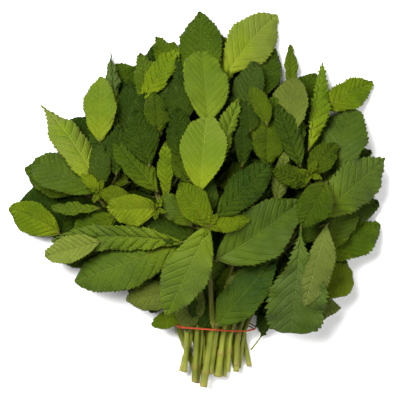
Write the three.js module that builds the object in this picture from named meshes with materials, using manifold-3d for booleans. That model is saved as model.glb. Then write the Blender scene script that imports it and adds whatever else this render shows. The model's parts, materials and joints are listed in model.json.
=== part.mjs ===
// A bunch of cut mint lying on a table, its stems tied with a thin rubber band.
// Millimetres, +Z up. +Y runs from the cut ends of the stems to the leaf tips.
import * as THREE from "three";
import Module from "manifold-3d";

const wasm = await Module();
wasm.setup();

// ---- Driving dimensions ----
const HEAD = { x: 5, y: -10, radius: 122, height: 50, layerDrop: 6 }; // dome of leaves
const LEAF = { thickness: 0.8, keel: 0.5, rings: 8, stalk: 0.16, foot: 0.7, tip: 0.85 };
const STEM = { rings: 9, taper: 0.35, corner: 0.08 };                 // corner: square section
const TIE = { x: 9, y: -76, lean: 0.05, tilt: 0.3, thick: 1.2, spread: 1.4, step: 0.8, under: 3.2,
  reach: 6.5, steps: 96, sides: 6, sample: 0.1 };
const RING = 8;         // points round a leaf or a stem
const CLEARANCE = 0.35; // kept between any two solids
const LIFT_STEP = 0.6;  // how finely a leaf is raised to clear what it lies on
const MAX_LIFT = 45;

// ---- Finishes ----
const finish = (color, roughness) =>
  new THREE.MeshStandardMaterial({ color, roughness, metalness: 0 });
const FINISH = {
  young: finish(0x7fa03a, 0.55),
  mature: finish(0x4c7430, 0.5),
  dark: finish(0x2f5230, 0.5),
  pale: finish(0x8fa377, 0.6),
  stem: finish(0xa9b86a, 0.45),
  band: finish(0xc8402c, 0.6),
};

// ---- Planting list ----
// Stem: name, thickness, cut end [x, y], height at the tie, place across the tie, and the
// place in the head that it runs to [x, y, z].
const STEMS = [
  ["stem_left_low", 4.0, [-3, -104], 2.2, -14, [-60, 0, 16]],
  ["stem_centre_low", 4.2, [4, -106], 2.3, -5, [-25, 25, 14]],
  ["stem_middle_low", 4.0, [9, -103], 2.2, 3, [2, 60, 8]],
  ["stem_right_low", 4.0, [14, -107], 2.2, 11, [30, 45, 8]],
  ["stem_far_right_low", 3.6, [22, -102], 2, 19, [55, 35, 9]],
  ["stem_outer_right", 3.4, [30, -101], 2, 27, [75, -10, 10]],
  ["stem_left", 3.8, [-11, -104], 7.5, -5, [-14, -30, 32]],
  ["stem_left_middle", 3.6, [-2, -111], 7.2, 1, [-24, -4, 34]],
  ["stem_wide", 5.0, [11, -107], 7.6, 15, [38, 0, 26]],
  ["stem_right", 3.8, [22, -104], 7, 24, [64, 4, 24]],
  ["stem_front", 4.6, [2, -113], 10.5, 7, [4, -18, 44]],
  ["stem_thin", 2.4, [17, -104], 11, 20, [54, -26, 28]],
];

// Sprig: name, and where its stem comes up in the head [x, y]. Its leaves are numbered, and
// each starts some way from the stem and lies on the dome:
// layer (0 is outermost, 4 lies on the table), start from the stem [x, y], heading in
// degrees clockwise from +Y, length, width, finish, and how it is bent: arch up along its
// length, sweep sideways, roll about its midrib, cup of its two halves.
const SPRIGS = [
  { name: "front", at: [5, -15], leaves: [
    [0, [0, 0], -35, 30, 18, "young", { arch: 6, roll: 15, cup: 0.3 }],
    [0, [5, 5], 45, 45, 20, "dark", { arch: 9, roll: -16, cup: 0.2 }],
    [0, [0, 0], -155, 60, 26, "mature", { arch: 12, roll: -14 }],
    [1, [5, -20], 55, 60, 32, "dark", { arch: 11, sweep: 3, roll: 10 }],
    [2, [5, -60], 40, 55, 24, "dark", { arch: 8, roll: -12 }],
    [1, [-5, 20], 5, 45, 26, "young", { arch: 9, roll: -10, cup: 0.15 }],
    [1, [0, 25], 20, 55, 16, "mature", { arch: 7, roll: 30 }],
  ] },
  { name: "centre", at: [-25, 0], leaves: [
    [0, [0, -5], -90, 30, 20, "young", { arch: 7, roll: -15, cup: 0.3 }],
    [1, [0, 5], -40, 40, 18, "mature", { arch: 8, roll: 18 }],
    [1, [5, 0], 0, 35, 10, "young", { arch: 5, roll: -30 }],
    [1, [-5, 20], -15, 35, 20, "dark", { arch: 5, roll: 15 }],
    [1, [15, 20], -5, 35, 17, "dark", { arch: 5, roll: -14 }],
  ] },
  { name: "left", at: [-60, 5], leaves: [
    [1, [0, 0], -35, 65, 22, "young", { arch: 11, sweep: 7, roll: 22 }],
    [1, [0, 0], 0, 30, 14, "dark", { arch: 5, roll: -25 }],
    [2, [0, 0], -65, 45, 26, "dark", { arch: 10, roll: 12 }],
    [1, [0, -10], -90, 30, 8, "mature", { arch: 12, roll: 35 }],
    [4, [-15, 0], -65, 35, 20, "mature", { arch: 4, roll: 10 }],
    [3, [-25, -25], -65, 35, 20, "young", { arch: 5, sweep: 3, roll: -14 }],
  ] },
  { name: "lower_left", at: [-10, -25], leaves: [
    [1, [0, 0], -90, 80, 16, "mature", { arch: 9, sweep: 7, roll: -25 }],
    [2, [0, 0], -110, 70, 30, "mature", { arch: 11, roll: 16 }],
    [3, [-5, -30], -100, 30, 18, "pale", { arch: 4 }],
  ] },
  { name: "upper_left", at: [-55, 40], leaves: [
    [2, [-5, -5], 0, 40, 20, "young", { arch: 5, roll: -12, cup: 0.2 }],
    [3, [5, 0], -5, 50, 10, "dark", { arch: 5, roll: 40 }],
  ] },
  { name: "top_left", at: [-25, 55], leaves: [
    [3, [-10, 5], 35, 40, 15, "young", { arch: 5, roll: -20 }],
    [4, [15, 20], -35, 30, 16, "mature", { arch: 4 }],
  ] },
  { name: "top", at: [5, 55], leaves: [
    [2, [0, -10], -5, 45, 28, "mature", { arch: 8, roll: 8, cup: 0.15 }],
    [3, [-5, 15], 0, 45, 28, "mature", { arch: 6, roll: -12 }],
    [3, [10, 20], 40, 50, 28, "young", { arch: 8, sweep: -3, roll: 14 }],
    [3, [20, -5], 15, 35, 18, "dark", { arch: 4, roll: -20 }],
    [4, [30, 5], 15, 35, 18, "dark", { arch: 4, roll: -15 }],
  ] },
  { name: "upper_right", at: [60, 25], leaves: [
    [1, [5, 5], 10, 55, 16, "young", { arch: 7, roll: 15 }],
    [2, [-10, 10], 10, 40, 24, "pale", { arch: 7, roll: -14 }],
    [1, [0, -5], -20, 40, 14, "dark", { arch: 5, roll: 22 }],
    [3, [15, 30], 60, 35, 18, "young", { arch: 4, roll: -12 }],
  ] },
  { name: "right", at: [65, 15], leaves: [
    [0, [0, 0], 40, 25, 15, "mature", { arch: 5, roll: -18, cup: 0.25 }],
    [0, [0, -5], -70, 25, 13, "mature", { arch: 5, roll: 15, cup: 0.25 }],
    [0, [10, -5], -150, 30, 20, "mature", { arch: 9, roll: -12 }],
    [2, [10, -5], 20, 50, 30, "dark", { arch: 10, roll: -16, cup: 0.1 }],
    [2, [5, -25], 50, 55, 28, "mature", { arch: 11, roll: 12 }],
  ] },
  { name: "centre_right", at: [40, -5], leaves: [
    [2, [0, 25], 0, 25, 20, "mature", { arch: 4, roll: 12 }],
    [1, [5, 0], 10, 35, 10, "pale", { arch: 5, roll: 35 }],
  ] },
  { name: "lower_right", at: [70, -30], leaves: [
    [1, [-10, 15], -175, 65, 30, "dark", { arch: 12, roll: -12 }],
    [1, [5, 15], -165, 50, 18, "pale", { arch: 9, roll: 18 }],
    [3, [5, -5], 60, 40, 20, "mature", { arch: 5, roll: -10 }],
    [3, [0, -25], 60, 25, 22, "young", { arch: 4, cup: 0.35 }],
    [2, [-15, -35], 90, 30, 16, "pale", { arch: 4 }],
  ] },
];

// ---- Solids ----
const rad = THREE.MathUtils.degToRad;
const v3 = (x, y, z) => new THREE.Vector3(x, y, z);

// Skins a row of eight-point rings, flat at the first one and drawn to one point.
function skin(rings, apex) {
  const points = [...rings.flat(), apex];
  const n = rings[0].length;
  const last = points.length - 1;
  const faces = [];
  for (let i = 1; i < n - 1; i++) faces.push(0, i + 1, i);
  for (let r = 0; r + 1 < rings.length; r++)
    for (let i = 0; i < n; i++) {
      const a = r * n + i, b = r * n + ((i + 1) % n);
      faces.push(a, b, b + n, a, b + n, a + n);
    }
  const top = (rings.length - 1) * n;
  for (let i = 0; i < n; i++) faces.push(top + i, top + ((i + 1) % n), last);
  return closed(points, faces);
}

// A closed geometry whose faces look outward whichever way round they were listed.
function closed(points, faces) {
  let volume = 0;
  for (let f = 0; f < faces.length; f += 3) {
    const [a, b, c] = [points[faces[f]], points[faces[f + 1]], points[faces[f + 2]]];
    volume += a.dot(v3().crossVectors(b, c));
  }
  if (volume < 0)
    for (let f = 0; f < faces.length; f += 3)
      [faces[f + 1], faces[f + 2]] = [faces[f + 2], faces[f + 1]];
  const geometry = new THREE.BufferGeometry();
  geometry.setAttribute("position",
    new THREE.Float32BufferAttribute(points.flatMap((p) => p.toArray()), 3));
  geometry.setIndex(faces);
  return geometry;
}

// Height of the dome of leaves over a place, for one layer.
function domeHeight(x, y, layer) {
  const out = Math.min(1, Math.hypot(x - HEAD.x, y - HEAD.y) / HEAD.radius);
  return Math.max(0.8, (HEAD.height - layer * HEAD.layerDrop) * (1 - out ** 1.7));
}

// Half width of a leaf along its length, as a share of the greatest: a narrow stalk, a
// rounded foot, the widest place a little below the middle, and a blunt point.
function outline(u) {
  const power = LEAF.foot + (LEAF.tip - LEAF.foot) * u;
  return Math.max(LEAF.stalk, Math.sin(Math.PI * u ** 0.9) ** power);
}

// One leaf of a sprig, grown all round by a clearance where one is given.
function leafSolid(at, [layer, start, heading, length, width, , bend], grow = 0) {
  const { arch = 5, sweep = 0, roll = 0, cup = 0.08 } = bend;
  const way = v3(Math.sin(rad(heading)), Math.cos(rad(heading)), 0);
  const across = v3(way.y, -way.x, 0);
  const foot = v3(at[0] + start[0], at[1] + start[1], 0);
  foot.z = domeHeight(foot.x, foot.y, layer);
  const tip = foot.clone().addScaledVector(way, length + grow);
  tip.z = domeHeight(tip.x, tip.y, layer);
  const middle = foot.clone().lerp(tip, 0.5).addScaledVector(across, sweep);
  middle.z += arch;
  const midrib = new THREE.QuadraticBezierCurve3(foot, middle, tip);
  const rings = [];
  for (let r = 0; r < LEAF.rings; r++) {
    const u = 0.96 * (r / (LEAF.rings - 1)) ** 0.95;
    const along = midrib.getTangent(u);
    const side = v3().crossVectors(along, v3(0, 0, 1)).normalize()
      .applyAxisAngle(along, rad(roll));
    const up = v3().crossVectors(side, along).normalize();
    const half = (width / 2) * outline(u) + grow;
    const at = (v, out) => midrib.getPoint(u).addScaledVector(side, v * half)
      .addScaledVector(up, cup * half * v * v + out);
    const t = LEAF.thickness / 2 + grow;
    rings.push([at(-1, 0), at(-0.5, t), at(0, t), at(0.5, t),
      at(1, 0), at(0.5, -t), at(0, -t - LEAF.keel), at(-0.5, -t)]);
  }
  return skin(rings, tip);
}

// A square stem with rounded corners: its cut end lies low, and from the tie, where the
// band passes under it, it climbs into the head. It can be grown by a clearance too.
function stemSolid([, thick, [cutX, cutY], height, tieX, [toX, toY, toZ]], grow = 0) {
  const path = new THREE.CatmullRomCurve3([
    v3(cutX, cutY, height), v3(tieX, TIE.y, height + TIE.under),
    v3(tieX + (toX - tieX) * 0.3, TIE.y + (toY - TIE.y) * 0.4, height + (toZ - height) * 0.5),
    v3(toX, toY, toZ)], false, "centripetal");
  const rings = [];
  for (let r = 0; r < STEM.rings; r++) {
    const u = 0.97 * (r / (STEM.rings - 1));
    const along = path.getTangent(u);
    const side = v3().crossVectors(along, v3(0, 0, 1)).normalize();
    const up = v3().crossVectors(side, along);
    const size = (thick / 2) * (1 - STEM.taper * u) + grow;
    rings.push(Array.from({ length: RING }, (_, i) => {
      const turn = (2 * Math.PI * i) / RING;
      const out = size * (1 + STEM.corner * Math.cos(4 * turn));
      return path.getPoint(u).addScaledVector(side, out * Math.cos(turn))
        .addScaledVector(up, out * Math.sin(turn));
    }));
  }
  return skin(rings, path.getPoint(1));
}

// ---- Laying the solids on one another ----
const bunch = new THREE.Group();
const laid = [];

function asManifold(geometry) {
  return new wasm.Manifold(new wasm.Mesh({
    numProp: 3,
    vertProperties: geometry.getAttribute("position").array,
    triVerts: new Uint32Array(geometry.index.array),
  }));
}

// Raises a solid from where it was drawn, and off the table, until it clears all others.
// shape(grow) gives its geometry, grown by that much all round.
function lay(name, shape, material, most = MAX_LIFT) {
  const geometry = shape(0);
  const guard = asManifold(shape(CLEARANCE));
  geometry.computeBoundingBox();
  const start = Math.max(0, -geometry.boundingBox.min.z);
  for (let lift = start; lift <= start + most; lift += LIFT_STEP) {
    const raised = guard.translate([0, 0, lift]);
    if (laid.some((other) => !raised.intersect(other).isEmpty())) continue;
    const mesh = new THREE.Mesh(geometry, material);
    mesh.name = name;
    mesh.position.z = lift;
    laid.push(asManifold(geometry).translate([0, 0, lift]));
    bunch.add(mesh);
    return mesh;
  }
  throw new Error(`${name} finds no free height`);
}

const stems = STEMS.map((row) => lay(row[0], (grow) => stemSolid(row, grow), FINISH.stem));

// The band follows the hull of the stems where it crosses them, wound round twice; its two
// turns change places once, which closes the loop.
function bandSolid(grow) {
  const thick = TIE.thick / 2 + grow / 2;
  const near = stems.flatMap((stem) => {
    const path = stem.geometry.getAttribute("position");
    const found = [];
    for (let i = 0; i + RING < path.count - 1; i++) {
      for (let s = 0; s <= 1; s += TIE.sample) {
        const p = v3().fromBufferAttribute(path, i)
          .lerp(v3().fromBufferAttribute(path, i + RING), s).add(stem.position);
        if (Math.abs(p.y - TIE.y) < TIE.reach) found.push(p);
      }
    }
    return found;
  });
  const middle = near.reduce((sum, p) => sum + p.z, 0) / near.length;
  const { steps, sides } = TIE;
  const rings = [];
  const centre = (turn) => {
    const x = Math.cos(turn), z = Math.sin(turn);
    const edge = near.reduce((a, b) => (b.x * x + b.z * z > a.x * x + a.z * z ? b : a));
    const out = TIE.thick / 2 + CLEARANCE + TIE.step * (1 + Math.sin(turn / 2));
    const p = v3(edge.x + out * x, 0, edge.z + out * z);
    p.y = TIE.y - TIE.tilt * (p.z - middle) - TIE.lean * (p.x - TIE.x)
      + TIE.spread * Math.cos(turn / 2);
    return p;
  };
  for (let i = 0; i < steps; i++) {
    const turn = (4 * Math.PI * i) / steps;
    const out = v3(Math.cos(turn), 0, Math.sin(turn));
    rings.push(Array.from({ length: sides }, (_, k) => {
      const a = (2 * Math.PI * k) / sides;
      return centre(turn).addScaledVector(out, thick * Math.cos(a))
        .add(v3(0, thick * Math.sin(a), 0));
    }));
  }
  const faces = [];
  for (let r = 0; r < steps; r++)
    for (let i = 0; i < sides; i++) {
      const a = r * sides + i, b = r * sides + ((i + 1) % sides);
      const c = ((r + 1) % steps) * sides + ((i + 1) % sides), d = ((r + 1) % steps) * sides + i;
      faces.push(a, b, c, a, c, d);
    }
  return closed(rings.flat(), faces);
}
lay("rubber_band", bandSolid, FINISH.band, 0);

// Leaves go on from the table up, so each lies on the ones below it.
const leaves = SPRIGS.flatMap(({ name, at, leaves: rows }) =>
  rows.map((row, i) => ({ name: `leaf_${name}_${i + 1}`, at, row })));
for (const { name, at, row } of leaves.sort((a, b) => b.row[0] - a.row[0]))
  lay(name, (grow) => leafSolid(at, row, grow), FINISH[row[5]]);

// The origin is the middle of the bunch, on the table.
const box = new THREE.Box3().setFromObject(bunch);
const middle = box.getCenter(v3());
bunch.position.set(-middle.x, -middle.y, -box.min.z);
const group = new THREE.Group();
group.add(bunch);

export default group;
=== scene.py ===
"""A bunch of cut mint lying on a pale table, its stems tied with a rubber band.

Every leaf and stem of the frame follows its solid: the middle line, the turn and the
width are read from it, and the fine surface is worked out on them. The band goes round
the stems where its solid does. Smaller leaves and thinner stems fill in between.
Lengths are metres. +Y runs from the cut ends to the leaf tips, +Z is up.
"""
import json

import bpy
import numpy as np
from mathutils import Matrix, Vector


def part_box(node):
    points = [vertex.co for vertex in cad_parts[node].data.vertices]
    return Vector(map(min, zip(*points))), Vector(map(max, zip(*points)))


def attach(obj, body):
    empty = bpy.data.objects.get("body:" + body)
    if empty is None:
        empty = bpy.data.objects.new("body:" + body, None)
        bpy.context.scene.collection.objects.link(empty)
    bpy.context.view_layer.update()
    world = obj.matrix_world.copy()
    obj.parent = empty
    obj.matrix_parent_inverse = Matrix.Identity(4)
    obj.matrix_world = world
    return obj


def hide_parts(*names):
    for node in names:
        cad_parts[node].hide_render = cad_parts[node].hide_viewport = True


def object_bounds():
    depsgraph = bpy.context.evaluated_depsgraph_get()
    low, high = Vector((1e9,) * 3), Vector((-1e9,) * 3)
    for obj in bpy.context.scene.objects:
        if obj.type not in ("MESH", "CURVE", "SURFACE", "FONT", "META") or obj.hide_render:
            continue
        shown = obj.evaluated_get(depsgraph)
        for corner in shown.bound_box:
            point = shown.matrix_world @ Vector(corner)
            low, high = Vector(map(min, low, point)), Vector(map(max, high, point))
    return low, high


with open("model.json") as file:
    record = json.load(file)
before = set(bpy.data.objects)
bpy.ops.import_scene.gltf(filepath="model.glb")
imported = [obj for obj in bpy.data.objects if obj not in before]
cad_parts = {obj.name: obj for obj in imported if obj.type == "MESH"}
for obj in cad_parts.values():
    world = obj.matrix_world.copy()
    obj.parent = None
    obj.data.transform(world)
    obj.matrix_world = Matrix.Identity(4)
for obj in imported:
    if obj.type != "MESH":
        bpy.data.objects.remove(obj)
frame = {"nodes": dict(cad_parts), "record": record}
cad_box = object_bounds()

MM = 0.001
UP = np.array([0.0, 0.0, 1.0])
NODES = frame["nodes"]
SLOT_OF = {part["node"]: part["material_slot"] for part in frame["record"]["subparts"]}
LOW, HIGH = (np.array(corner) for corner in cad_box)
rng = np.random.default_rng(7)

# ---- The head of leaves, as the frame gives it ----
HEAD_MIDDLE = np.array([0.0, -3 * MM])
HEAD_RADIUS = 0.52 * (HIGH[0] - LOW[0])
HEAD_HEIGHT = 0.84 * (HIGH[2] - LOW[2])
TIE_LINE = (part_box("rubber_band")[0][1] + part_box("rubber_band")[1][1]) / 2

# ---- Leaf make-up ----
TOOTH_PITCH = (1.7 * MM, 3.0 * MM)   # on a small and on a large leaf
TEETH_PER_SIDE = 20
TOOTH_SHARE = 0.42         # depth of a tooth as a share of the pitch
BLADE = 0.35 * MM          # thickness between the veins
MIDRIB_PROUD = 0.75 * MM   # how far the midrib stands out underneath
MIDRIB_HALF = 0.7 * MM
VEINS_PER_LEAF = 10
VEIN_SLOPE = 0.85          # how far a side vein climbs for its way out
VEIN_CURVE = 0.10
CLEAR_OF_TABLE = 0.1 * MM
LINE_POINTS = 24           # points of a leaf's middle line
LAST_ROW = 0.992           # where the last row across a leaf is, before its end point
TO_MARGIN = 0.41 * np.pi   # a quarter turn less a little: columns crowd towards the margin
RING = 8                   # points round a solid's section in the frame

# How each kind of leaf is made: how much it bulges between its veins (share of the vein
# spacing), and how far its margin waves.
QUILT = {"leaf_young": 0.24, "leaf_mature": 0.22, "leaf_dark": 0.23, "leaf_pale": 0.16}
WAVE = {"leaf_young": 1.3 * MM, "leaf_mature": 2.0 * MM,
        "leaf_dark": 2.0 * MM, "leaf_pale": 1.5 * MM}


# ---------------------------------------------------------------- reading the frame
def unit(v):
    return v / np.maximum(np.linalg.norm(v, axis=-1, keepdims=True), 1e-12)


def rings_of(node):
    """The rings of a drawn-out solid, foot first, and its end point.

    The end point is the one vertex from which every further row of neighbours is a ring
    of eight, so the rows found from it, last row first, are the rings."""
    mesh = NODES[node].data
    co = np.zeros(len(mesh.vertices) * 3)
    mesh.vertices.foreach_get("co", co)
    corner = np.zeros(len(mesh.loops), int)
    mesh.loops.foreach_get("vertex_index", corner)
    _, first, same = np.unique(np.round(co.reshape(-1, 3) * 1e5), axis=0,
                               return_index=True, return_inverse=True)
    points = co.reshape(-1, 3)[first]
    tri = same.reshape(-1)[corner].reshape(-1, 3)
    n = len(points)
    joined = np.zeros((n, n), bool)
    for a, b in ((0, 1), (1, 2), (2, 0)):
        joined[tri[:, a], tri[:, b]] = joined[tri[:, b], tri[:, a]] = True
    for start in np.flatnonzero(joined.sum(1) == RING):
        seen = np.zeros(n, bool)
        seen[start] = True
        rows, edge = [], seen
        while True:
            edge = joined[edge].any(0) & ~seen
            if not edge.any():
                break
            seen = seen | edge
            rows.append(np.flatnonzero(edge))
        if len(rows) > 3 and all(len(row) == RING for row in rows) and seen.all():
            return np.array([points[row] for row in rows[::-1]]), points[start]
    raise ValueError(f"{node} is not a row of rings")


def through(rows, at):
    """Rows of numbers read between their places by Catmull-Rom: each stretch is the cubic
    whose slope at each row is half the step between that row's neighbours."""
    rows = np.asarray(rows, float)
    place = np.clip(np.asarray(at, float), 0, 1) * (len(rows) - 1)
    i = np.minimum(place.astype(int), len(rows) - 2)
    t = (place - i)[:, None]
    padded = np.vstack([2 * rows[0] - rows[1], rows, 2 * rows[-1] - rows[-2]])
    a, b, c, d = (padded[i + k] for k in range(4))
    return 0.5 * (2 * b + (c - a) * t + (2 * a - 5 * b + 4 * c - d) * t**2
                  + (3 * b - a - 3 * c + d) * t**3)


def even_line(line, count):
    """The same line as `count` points at even distances."""
    dense = through(line, np.linspace(0, 1, 200))
    run = np.r_[0, np.cumsum(np.linalg.norm(np.diff(dense, axis=0), axis=1))]
    want = np.linspace(0, run[-1], count)
    return np.stack([np.interp(want, run, dense[:, k]) for k in range(3)], 1), run[-1]


def blade_of(node):
    """Middle line, sideways direction, half width and cup of a leaf solid.

    The widest ring's longest direction is the leaf's sideways direction. The others keep
    it, turned to stay square to the middle line."""
    rings, end = rings_of(node)
    centre = rings.mean(1)
    spread = np.linalg.norm(rings - centre[:, None], axis=2).max(1)
    widest = int(spread.argmax())
    _, _, axes = np.linalg.svd(rings[widest] - centre[widest])
    way = unit(np.gradient(np.vstack([centre, end]), axis=0))
    side = axes[0] - way * (way @ axes[0])[:, None]
    if np.cross(side[widest], way[widest])[2] < 0:
        side = -side
    side = unit(side)
    reach = (rings[widest] - centre[widest]) @ side[widest]
    order = np.argsort(reach)
    lift = (rings[widest] - centre[widest]) @ unit(np.cross(side[widest], way[widest]))
    cup = (lift[order[[0, -1]]].mean() - lift[order[3:5]].max() + 0.4 * MM) / reach.max()
    return np.vstack([centre, end]), side, reach.max(), np.clip(cup, -0.1, 0.5)


# ---------------------------------------------------------------- meshes
def put_in(name, data):
    """A new object of this name in the scene."""
    obj = bpy.data.objects.new(name, data)
    bpy.context.scene.collection.objects.link(obj)
    return obj


def skin(rings, end):
    """Faces of a closed tube of rings with a flat foot and one end point, as index
    arrays: a quad between neighbours of two rings, triangles to the end point."""
    rows, around = rings.shape[:2]
    here = np.arange(rows * around).reshape(rows, around)
    on = np.roll(here, -1, 1)
    quads = np.stack([here[:-1], on[:-1], on[1:], here[1:]], -1).reshape(-1, 4)
    tip = np.full(around, rows * around)
    caps = np.stack([here[-1], on[-1], tip], -1)
    return np.vstack([rings.reshape(-1, 3), end]), quads, caps, here[0, ::-1]


class Pile:
    """Closed tubes gathered into one mesh, with a UV pair and named numbers per vertex."""

    def __init__(self):
        self.points, self.faces, self.uv, self.numbers, self.count = [], [], [], {}, 0

    def add(self, rings, end, uv, **numbers):
        points, quads, caps, foot = skin(rings, end)
        for part in (quads, caps, foot[None]):
            self.faces += (part + self.count).tolist()
        self.points.append(points)
        self.uv.append(uv)
        for name, values in numbers.items():
            full = np.broadcast_to(values, (len(points),))
            self.numbers.setdefault(name, []).append(full)
        self.count += len(points)

    def piece(self, name, material, slot, replaces=()):
        mesh = bpy.data.meshes.new(name)
        mesh.from_pydata(np.vstack(self.points).tolist(), [], self.faces)
        corner = np.zeros(len(mesh.loops), int)
        mesh.loops.foreach_get("vertex_index", corner)
        layer = mesh.uv_layers.new(name="lie")
        layer.data.foreach_set("uv", np.vstack(self.uv)[corner].ravel())
        for label, values in self.numbers.items():
            store = mesh.attributes.new(label, "FLOAT", "POINT")
            store.data.foreach_set("value", np.concatenate(values))
        mesh.polygons.foreach_set("use_smooth", np.ones(len(mesh.polygons), bool))
        mesh.materials.append(material)
        mesh.validate()
        mesh.update()
        obj = put_in(name, mesh)
        face_out(mesh)
        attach(obj, "root")
        if replaces:
            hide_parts(*replaces)
        return obj


def face_out(mesh):
    """Turns a closed mesh right side out when its signed volume is below nothing."""
    mesh.calc_loop_triangles()
    tri = np.zeros(len(mesh.loop_triangles) * 3, int)
    mesh.loop_triangles.foreach_get("vertices", tri)
    co = np.zeros(len(mesh.vertices) * 3)
    mesh.vertices.foreach_get("co", co)
    a, b, c = (co.reshape(-1, 3)[tri.reshape(-1, 3)[:, k]] for k in range(3))
    if np.einsum("ij,ij->", a, np.cross(b, c)) < 0:
        mesh.flip_normals()


# ---------------------------------------------------------------- one leaf
def leaf_outline(u, full=0.9, sharp=0.15):
    """Half width along a leaf as a share of its greatest: a sine over a drawn-in length,
    to a power that changes from foot to tip. So the foot is rounded and the tip comes to
    a point. `full` moves the widest place outward, and `sharp` draws the tip out."""
    u = np.clip(u, 0, 1)
    return np.sin(np.pi * u ** full) ** (0.7 + sharp * u)


# What one leaf may have of its own: tone from deep (0) to light (1), dust (a
# patchy dull grey, partly the leaf's own and partly a painted sheen), full and sharp for its
# outline, the share of its left and of its right half that shows where it is folded, how
# ragged its margin is, and how quilted it is.
PLAIN_LOOK = {"tone": 0.4, "dust": 0.2, "full": 0.95, "sharp": 0.05, "left": 1.0,
              "right": 1.0, "ragged": 1.0, "quilt": 1.0}


def look(**own):
    """A leaf's look: the plain one, save for what it has of its own."""
    return {**PLAIN_LOOK, **own}


def add_leaf(pile, spine, side, half, cup, kind, fine=True, own=PLAIN_LOOK):
    """Adds one toothed, veined blade.

    A point is the middle line at u, plus v times the half width sideways, plus a height
    along the blade's normal. The height is the cup less the droop of the margins (v
    squared), a fold along the midrib (the way out), a wave along the margin, a bulge
    between neighbouring side veins (one minus the cosine of the vein phase) and a groove
    over the midrib. The vein phase is the way along the leaf less the way that a side vein
    climbs at that distance out, over the vein spacing. A tooth adds to the margin a ramp
    that grows towards the tip and falls back at once."""
    line, length = even_line(spine, LINE_POINTS)
    pitch = np.clip(length / TEETH_PER_SIDE, *TOOTH_PITCH)
    teeth = int(round(length / pitch))
    steps = (0.0, 0.3, 0.6, 0.86) if fine else (0.0, 0.45, 0.85)
    u = (np.arange(teeth)[:, None] + np.array(steps)).ravel() / teeth
    u = np.r_[u[:-1], LAST_ROW]
    across = 17 if fine else 9
    v = np.sin(np.linspace(-1, 1, across) * TO_MARGIN) / np.sin(TO_MARGIN)
    middle = through(line, u)
    way = unit(np.gradient(middle, axis=0))
    out = through(side, u)
    out = unit(out - way * np.einsum("ij,ij->i", out, way)[:, None])
    twist = rng.uniform(-0.22, 0.22) * np.sin(2.4 * u)[:, None]
    flat = np.cross(out, way)
    out = unit(out * np.cos(twist) + flat * np.sin(twist))
    normal = unit(np.cross(out, way))

    spacing = np.clip(length / VEINS_PER_LEAF, 2.2 * MM, 6.5 * MM)
    width = half * leaf_outline(u, own["full"], own["sharp"])
    width = np.maximum(width, 0.55 * MM)
    tooth_at = (u * teeth) % 1.0
    fade = np.clip((u - 0.1) / 0.12, 0, 1) * np.clip((1.0 - u) / 0.05, 0, 1)
    depth = min(TOOTH_SHARE * pitch, 0.17 * half) * rng.uniform(0.85, 1.15) * own["ragged"]
    uneven = np.repeat(rng.uniform(0.55, 1.3, teeth), len(steps))[:len(u)]
    tooth = depth * fade * tooth_at**0.9 * uneven
    edge = np.clip((np.abs(v) - 0.72) / 0.28, 0, 1) ** 1.5
    lobes = rng.uniform(0, 6.28, 4)
    left, right = (1 + own["ragged"] * (0.05 * np.sin(7 * u + broad)
                                        + 0.03 * np.sin(17 * u + narrow))
                   for broad, narrow in lobes.reshape(2, 2))
    lopsided = np.where(v < 0, own["left"] * left[:, None], own["right"] * right[:, None])
    x = v * width[:, None] * lopsided + np.sign(v) * edge * tooth[:, None]
    y = np.broadcast_to((u * length)[:, None], x.shape)
    phase = (y - VEIN_SLOPE * np.abs(x)) / spacing - VEIN_CURVE * (x / spacing) ** 2
    bulge = (0.5 - 0.5 * np.cos(2 * np.pi * phase)) ** 0.7
    inner = np.sin(np.pi * np.clip(np.abs(v), 0, 1) ** 0.8) ** 0.6
    slow, fast = rng.uniform(0, 6.28, 2)
    wave = np.sin(2 * np.pi * 2.3 * u + slow) * 0.6 + np.sin(2 * np.pi * 5.1 * u + fast) * 0.4
    fold = rng.uniform(0.04, 0.3) * np.sqrt(x**2 + (0.8 * MM) ** 2)
    quilt = own["quilt"] * QUILT[kind] * np.clip(40 * MM / length, 0.7, 1.7)
    droop = rng.uniform(0.0, 0.42)
    waving = own["ragged"] * WAVE[kind] * (wave * fade)[:, None]
    height = ((0.8 * cup - droop) * width[:, None] * v**2 + fold
              + quilt * spacing * bulge * inner
              + waving * np.sign(v) * np.abs(v) ** 2.2
              - 0.3 * MM * np.exp(-(x / (0.8 * MM)) ** 2))
    rib = MIDRIB_PROUD * (1 - 0.75 * u)[:, None] * np.exp(-(x / MIDRIB_HALF) ** 2)
    vein = np.exp(-(((phase + 0.5) % 1.0 - 0.5) / 0.07) ** 2) * 0.2 * MM * inner
    thick = BLADE * np.clip((1 - np.abs(v)) * 6, 0, 1)

    def sheet(level):
        return (middle[:, None] + out[:, None] * x[..., None]
                + normal[:, None] * level[..., None])

    upper = sheet(height + thick / 2)
    under = sheet(height - thick / 2 - rib - vein)
    rings = np.concatenate([upper, under[:, -2:0:-1]], 1)
    rings[..., 2] = np.maximum(rings[..., 2], CLEAR_OF_TABLE)
    plan = np.stack([x, y], -1) / spacing
    uv = np.concatenate([plan, plan[:, -2:0:-1]], 1).reshape(-1, 2)
    uv = np.vstack([uv, [0, length / spacing]])
    upward = np.concatenate([np.full(across, 1.0), np.zeros(across - 2)])
    upward = np.r_[np.tile(upward, len(u)), 1.0]
    reach = np.concatenate([np.broadcast_to(np.abs(v), x.shape),
                            np.broadcast_to(np.abs(v), x.shape)[:, -2:0:-1]], 1)
    reach = np.r_[reach.ravel(), 1.0]
    along = np.r_[np.repeat(u, rings.shape[1]), 1.0]
    end = np.maximum(line[-1], [-1, -1, CLEAR_OF_TABLE])
    pile.add(rings, end, uv, upper=upward, margin=reach, along=along,
             tone=own["tone"] + rng.uniform(-0.1, 0.1), dust=own["dust"],
             crease=own["quilt"] * np.clip((38 * MM / length) ** 2, 0.5, 2.2))
    return line


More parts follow.
